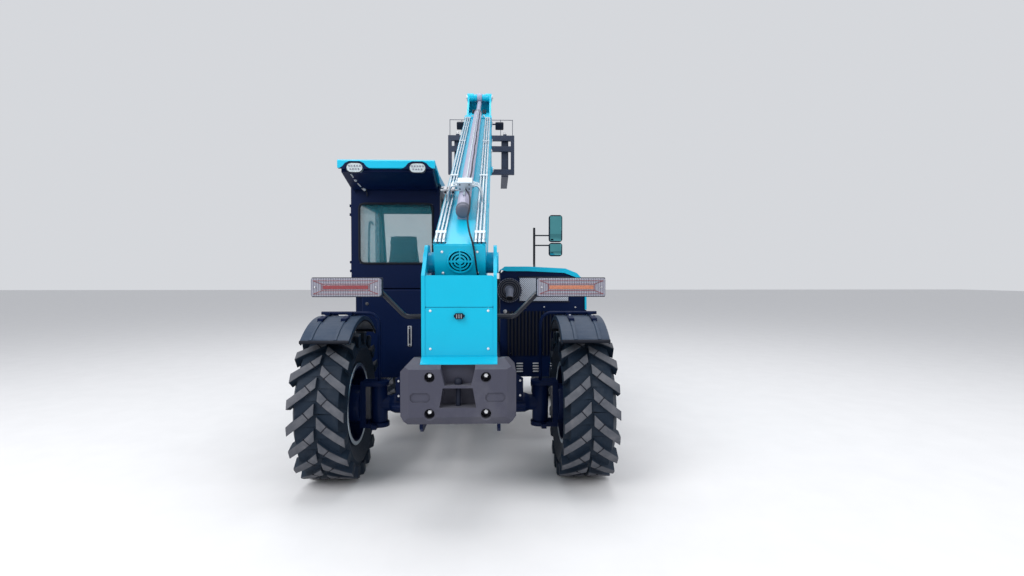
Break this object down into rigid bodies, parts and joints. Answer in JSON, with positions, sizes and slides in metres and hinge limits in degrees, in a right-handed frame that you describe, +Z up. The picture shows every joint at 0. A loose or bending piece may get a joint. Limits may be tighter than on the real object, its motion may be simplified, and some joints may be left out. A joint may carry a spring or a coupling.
{
  "type": "telehandler",
  "caption": "Telescopic handler with a raised extending boom, fork carriage, side cab, engine bay, counterweight and four driven, steered wheels.",
  "frame": {"origin": "on the ground under the middle of the machine as it stands, boom raised and drawn in", "axes": "+X forward, +Y to the driver's left, +Z up"},
  "size_m": [7.0216, 2.4, 4.3977],
  "materials": {
    "cyan_paint": "satin paint",
    "black_paint": "satin paint",
    "cast_weight": "rough painted casting",
    "tyre_rubber": "matte",
    "black_plastic": "grained",
    "rod_chrome": "polished",
    "barrel_paint": "satin paint",
    "pipe_zinc": "bright zinc",
    "clear_glass": "clear",
    "seat_fabric": "woven",
    "lamp_lens": "ribbed lens",
    "pad_plastic": "smooth",
    "fork_steel": "satin paint",
    "engine_iron": "rough"
  },
  "bodies": {
    "machine": {"main_frame": "black_paint", "tower": "cyan_paint", "tower_cover": "cyan_paint", "counterweight": "cast_weight", "tow_pin": "pipe_zinc", "rear_axle": "black_paint", "front_axle": "black_paint", "cab_frame": "black_paint", "cab_glass": "clear_glass", "cab_roof": "cyan_paint", "roof_lamps": "lamp_lens", "roof_liner": "black_plastic", "seat_cushion": "seat_fabric", "seat_back": "seat_fabric", "cab_fittings": "black_plastic", "engine_tray": "black_plastic", "engine": "engine_iron", "exhaust_outlet": "black_paint", "hydraulic_tank": "black_paint", "outriggers": "black_paint", "drive_line": "black_paint", "tail_lamps": "lamp_lens", "lamp_arms": "black_paint", "mirror_arm": "black_paint", "mirror_head": "black_plastic"},
    "boom": {"outer_boom": "cyan_paint", "boom_tail_plate": "cyan_paint", "wear_pads": "pad_plastic", "ram_barrel": "barrel_paint", "boom_pipes": "pipe_zinc"},
    "inner_boom": {"inner_boom": "cyan_paint", "boom_head": "cyan_paint", "ram_rod": "rod_chrome"},
    "carriage": {"carriage": "fork_steel", "load_guard": "fork_steel", "forks": "fork_steel"},
    "lift_barrel": {"lift_barrel": "black_paint"},
    "lift_rod": {"lift_rod": "rod_chrome"},
    "tilt_barrel": {"tilt_barrel": "black_paint"},
    "tilt_rod": {"tilt_rod": "rod_chrome"},
    "cab_door": {"door_frame": "black_paint", "door_glass": "clear_glass"},
    "hood": {"hood_lid": "cyan_paint"},
    "steering_wheel": {"steering_wheel": "black_plastic"},
    "knuckle_rear_left": {"knuckle_rear_left": "black_paint", "mudguard_rear_left": "black_plastic"},
    "wheel_rear_left": {"rim_rear_left": "black_paint", "tyre_rear_left": "tyre_rubber"},
    "knuckle_rear_right": {"knuckle_rear_right": "black_paint", "mudguard_rear_right": "black_plastic"},
    "wheel_rear_right": {"rim_rear_right": "black_paint", "tyre_rear_right": "tyre_rubber"},
    "knuckle_front_left": {"knuckle_front_left": "black_paint", "mudguard_front_left": "black_plastic"},
    "wheel_front_left": {"rim_front_left": "black_paint", "tyre_front_left": "tyre_rubber"},
    "knuckle_front_right": {"knuckle_front_right": "black_paint", "mudguard_front_right": "black_plastic"},
    "wheel_front_right": {"rim_front_right": "black_paint", "tyre_front_right": "tyre_rubber"}
  },
  "joints": [
    {"name": "boom_lift", "type": "hinge", "parent": "machine", "child": "boom", "pos_m": [-3.11, -0.05, 1.72], "axis": [0, -1, 0], "range_deg": [-32, 39]},
    {"name": "boom_extend", "type": "slide", "parent": "boom", "child": "inner_boom", "axis": [0.891, 0, 0.454], "range_m": [0, 2.9]},
    {"name": "carriage_tilt", "type": "hinge", "parent": "inner_boom", "child": "carriage", "pos_m": [2.08733, -0.05, 3.41419], "axis": [0, 1, 0], "range_deg": [-44, 76]},
    {"name": "lift_barrel_swing", "type": "hinge", "parent": "machine", "child": "lift_barrel", "pos_m": [-3.03327, -0.05, 0.62268], "axis": [0, -1, 0], "range_deg": [-17, 20.5]},
    {"name": "lift_rod_slide", "type": "slide", "parent": "lift_barrel", "child": "lift_rod", "axis": [0.6225, 0, 0.7826], "range_m": [-0.3966, 0.4829]},
    {"name": "tilt_barrel_swing", "type": "hinge", "parent": "inner_boom", "child": "tilt_barrel", "pos_m": [1.44661, -0.05, 3.57033], "axis": [0, 1, 0], "range_deg": [-4.9, 8.1]},
    {"name": "tilt_rod_slide", "type": "slide", "parent": "tilt_barrel", "child": "tilt_rod", "axis": [0.9977, 0, 0.0674], "range_m": [-0.1249, 0.2142]},
    {"name": "door_swing", "type": "hinge", "parent": "machine", "child": "cab_door", "pos_m": [-1.575, 1.124, 1.8], "axis": [0, 0, 1], "range_deg": [0, 90]},
    {"name": "hood_open", "type": "hinge", "parent": "machine", "child": "hood", "pos_m": [-1.105, -0.335, 1.67], "axis": [-1, 0, 0], "range_deg": [0, 55]},
    {"name": "steer_rear_left", "type": "hinge", "parent": "machine", "child": "knuckle_rear_left", "pos_m": [-2.51, 0.66, 0.585], "axis": [0, 0, 1], "range_deg": [-35, 35]},
    {"name": "spin_rear_left", "type": "hinge", "parent": "knuckle_rear_left", "child": "wheel_rear_left", "pos_m": [-2.51, 0.995, 0.585], "axis": [0, 1, 0], "continuous": true},
    {"name": "steer_rear_right", "type": "hinge", "parent": "machine", "child": "knuckle_rear_right", "pos_m": [-2.51, -0.66, 0.585], "axis": [0, 0, 1], "range_deg": [-35, 35]},
    {"name": "spin_rear_right", "type": "hinge", "parent": "knuckle_rear_right", "child": "wheel_rear_right", "pos_m": [-2.51, -0.995, 0.585], "axis": [0, 1, 0], "continuous": true},
    {"name": "steer_front_left", "type": "hinge", "parent": "machine", "child": "knuckle_front_left", "pos_m": [0.39, 0.66, 0.585], "axis": [0, 0, 1], "range_deg": [-35, 35]},
    {"name": "spin_front_left", "type": "hinge", "parent": "knuckle_front_left", "child": "wheel_front_left", "pos_m": [0.39, 0.995, 0.585], "axis": [0, 1, 0], "continuous": true},
    {"name": "steer_front_right", "type": "hinge", "parent": "machine", "child": "knuckle_front_right", "pos_m": [0.39, -0.66, 0.585], "axis": [0, 0, 1], "range_deg": [-35, 35]},
    {"name": "spin_front_right", "type": "hinge", "parent": "knuckle_front_right", "child": "wheel_front_right", "pos_m": [0.39, -0.995, 0.585], "axis": [0, 1, 0], "continuous": true},
    {"name": "steering_wheel_turn", "type": "hinge", "parent": "machine", "child": "steering_wheel", "pos_m": [-0.72, 0.64, 1.64], "axis": [-0.5736, 0, 0.8192], "range_deg": [-430, 430]}
  ],
  "couplings": [
    {"joint": "lift_barrel_swing", "follows": "boom_lift", "ratio": 0.5},
    {"joint": "lift_rod_slide", "follows": "boom_lift", "m_per_rad": 0.7065},
    {"joint": "tilt_barrel_swing", "follows": "carriage_tilt", "ratio": 0.1},
    {"joint": "tilt_rod_slide", "follows": "carriage_tilt", "m_per_rad": 0.16},
    {"joint": "steer_front_right", "follows": "steer_front_left", "ratio": 1},
    {"joint": "steer_rear_right", "follows": "steer_rear_left", "ratio": 1},
    {"joint": "steering_wheel_turn", "follows": "steer_front_left", "ratio": 12}
  ]
}
